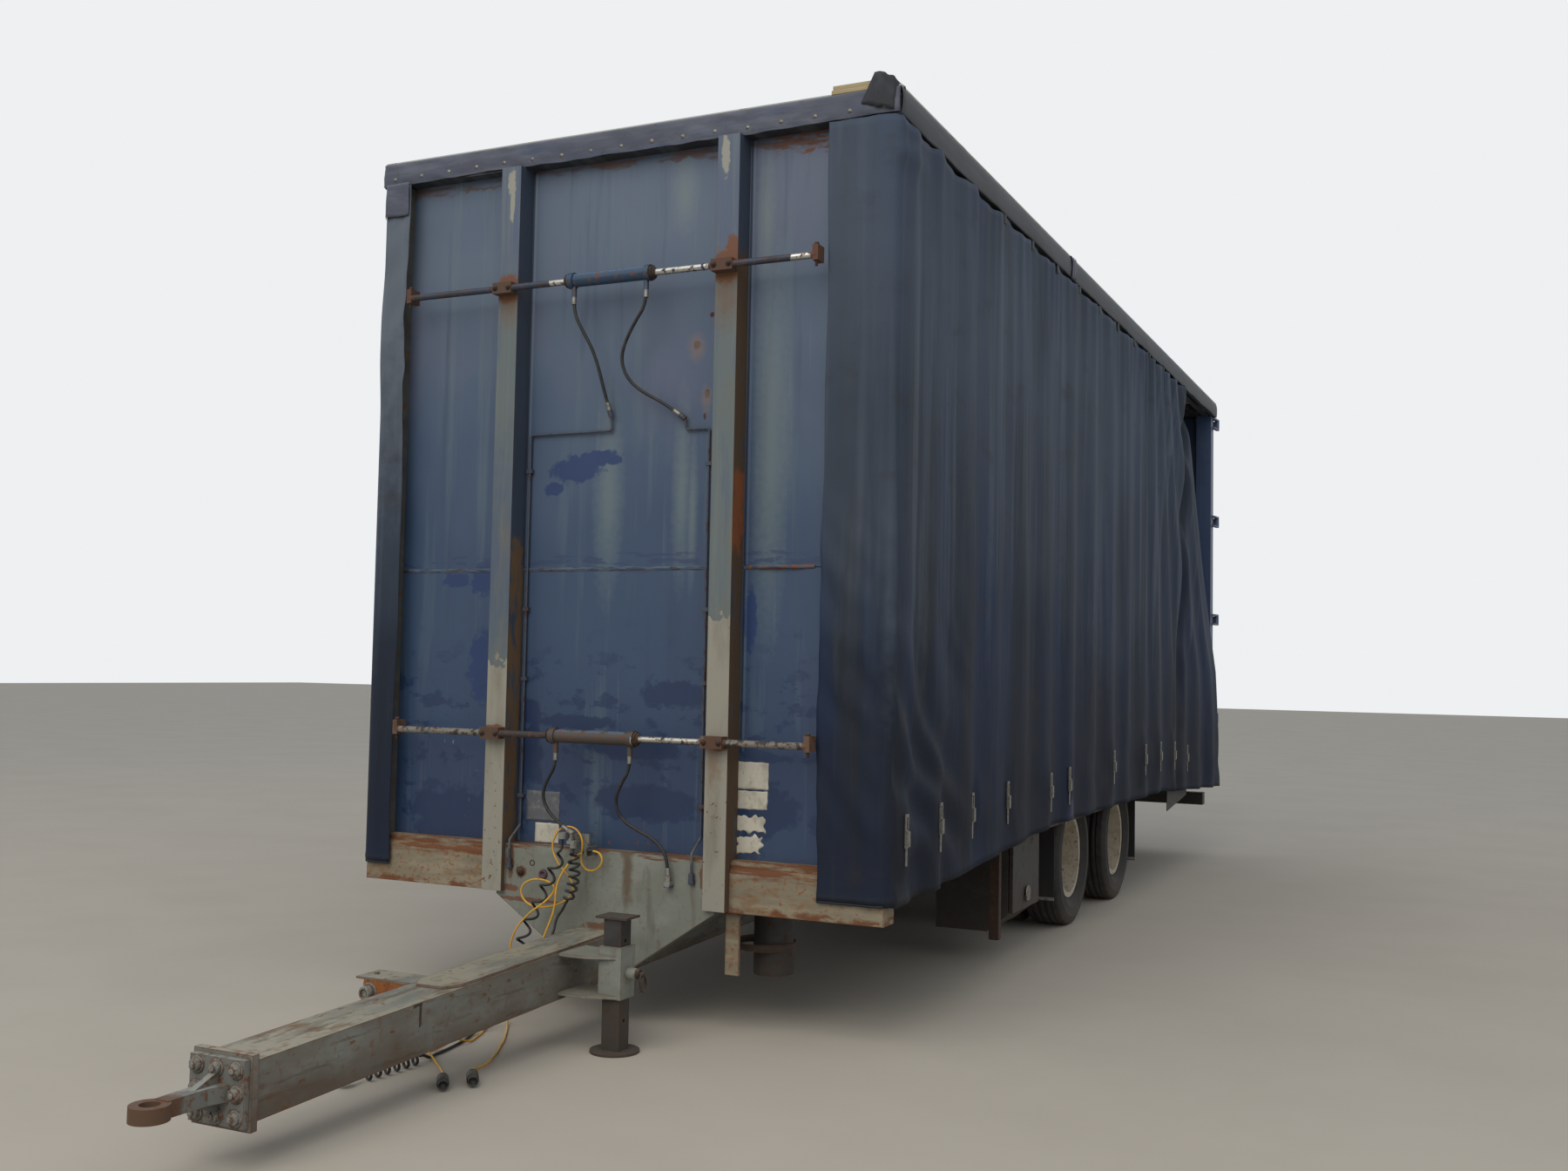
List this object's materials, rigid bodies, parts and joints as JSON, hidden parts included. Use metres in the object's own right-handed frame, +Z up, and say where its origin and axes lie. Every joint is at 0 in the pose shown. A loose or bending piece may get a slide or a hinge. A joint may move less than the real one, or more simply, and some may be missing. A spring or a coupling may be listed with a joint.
{
  "type": "centre-axle curtain-side trailer",
  "caption": "Tandem-axle curtain-side box trailer with a rigid drawbar and towing eye, parked on its jack leg; rear doors and locker lid open, wheels turn.",
  "frame": {"origin": "on the ground below the middle of the overall length and width", "axes": "+Z up, -Y towards the towing eye (forward when towed), +X the trailer's left side"},
  "size_m": [2.6106, 9.955, 3.7463],
  "materials": {
    "faded_paint": "faded grey-ochre paint with rust",
    "blue_grey_paint": "faded blue-grey paint over pale primer",
    "blue_paint": "faded dark blue paint",
    "dark_rail": "dark blue rail with chalky wear",
    "bare_aluminium": "mill finish",
    "pale_sheet": "translucent roof sheet, weathered",
    "grey_green_paint": "faded grey-green paint with rusty edges",
    "deck_wood": "film-faced ply, worn",
    "zinc_steel": "zinc plated, dulled",
    "cast_parts": "rusty forged or cast steel",
    "slate_paint": "dark slate paint, dusty",
    "black_rubber": "matte black rubber",
    "yellow_cable": "yellow cable jacket, dusty",
    "tyre_rubber": "worn dusty tyre rubber",
    "cream_paint": "cream enamel",
    "red_lens": "red lamp lens",
    "cylinder_steel": "painted cylinder with bright rods",
    "curtain_fabric": "dark blue coated tarpaulin"
  },
  "bodies": {
    "trailer": {"front_beam": "faded_paint", "headboard_posts": "blue_grey_paint", "body_pillars": "blue_paint", "front_wall_panels": "blue_paint", "roof_rails": "dark_rail", "roof_bars": "bare_aluminium", "roof_sheet": "pale_sheet", "front_valance": "blue_paint", "chassis_rails": "grey_green_paint", "cross_members": "grey_green_paint", "side_raves": "blue_paint", "floor_deck": "deck_wood", "rear_sill": "blue_paint", "rear_posts": "blue_paint", "drawbar": "grey_green_paint", "towing_eye": "cast_parts", "nose_frame": "grey_green_paint", "jack_sleeve": "grey_green_paint", "jack_leg": "slate_paint", "jack_pin": "zinc_steel", "suspension_arms": "cast_parts", "air_bellows": "black_rubber", "axles": "cast_parts", "mudflaps": "black_rubber", "tool_box": "slate_paint", "guard_posts": "faded_paint", "air_tank": "slate_paint", "rear_skirts": "slate_paint", "rear_bumper": "slate_paint", "rear_lamps": "red_lens", "curtain_tensioners": "cylinder_steel", "hose_upper_left": "black_rubber", "hose_upper_right": "black_rubber", "hose_lower_left": "black_rubber", "hose_lower_right": "black_rubber", "wall_pipes": "zinc_steel", "cable_long": "yellow_cable", "cable_short": "yellow_cable", "curly_hose_left": "black_rubber", "curly_hose_right": "black_rubber", "curly_hose_lead": "black_rubber", "curly_hose_ground": "black_rubber", "cord_ends": "black_rubber", "curtain_buckles": "zinc_steel", "curtain_left": "curtain_fabric", "curtain_right": "curtain_fabric"},
    "wheel_front_left": {"tyres_front_left": "tyre_rubber", "rims_front_left": "cream_paint"},
    "wheel_front_right": {"tyres_front_right": "tyre_rubber", "rims_front_right": "cream_paint"},
    "wheel_rear_left": {"tyres_rear_left": "tyre_rubber", "rims_rear_left": "cream_paint"},
    "wheel_rear_right": {"tyres_rear_right": "tyre_rubber", "rims_rear_right": "cream_paint"},
    "rear_door_left": {"door_left": "blue_paint", "door_locks_left": "zinc_steel"},
    "rear_door_right": {"door_right": "blue_paint", "door_locks_right": "zinc_steel"},
    "locker_lid": {"tool_box_lid": "slate_paint"}
  },
  "joints": [
    {"name": "wheel_front_left_spin", "type": "hinge", "parent": "trailer", "child": "wheel_front_left", "pos_m": [0.868, 0.7885, 0.3985], "axis": [1, 0, 0], "continuous": true},
    {"name": "wheel_front_right_spin", "type": "hinge", "parent": "trailer", "child": "wheel_front_right", "pos_m": [-0.868, 0.7885, 0.3985], "axis": [1, 0, 0], "continuous": true},
    {"name": "wheel_rear_left_spin", "type": "hinge", "parent": "trailer", "child": "wheel_rear_left", "pos_m": [0.868, 1.9285, 0.3985], "axis": [1, 0, 0], "continuous": true},
    {"name": "wheel_rear_right_spin", "type": "hinge", "parent": "trailer", "child": "wheel_rear_right", "pos_m": [-0.868, 1.9285, 0.3985], "axis": [1, 0, 0], "continuous": true},
    {"name": "rear_door_left_swing", "type": "hinge", "parent": "trailer", "child": "rear_door_left", "pos_m": [1.262, 4.9635, 2.3], "axis": [0, 0, -1], "range_deg": [0, 250]},
    {"name": "rear_door_right_swing", "type": "hinge", "parent": "trailer", "child": "rear_door_right", "pos_m": [-1.262, 4.9635, 2.3], "axis": [0, 0, 1], "range_deg": [0, 250]},
    {"name": "locker_lid_hinge", "type": "hinge", "parent": "trailer", "child": "locker_lid", "pos_m": [1.13, -0.2915, 0.634], "axis": [0, -1, 0], "range_deg": [0, 80]}
  ]
}
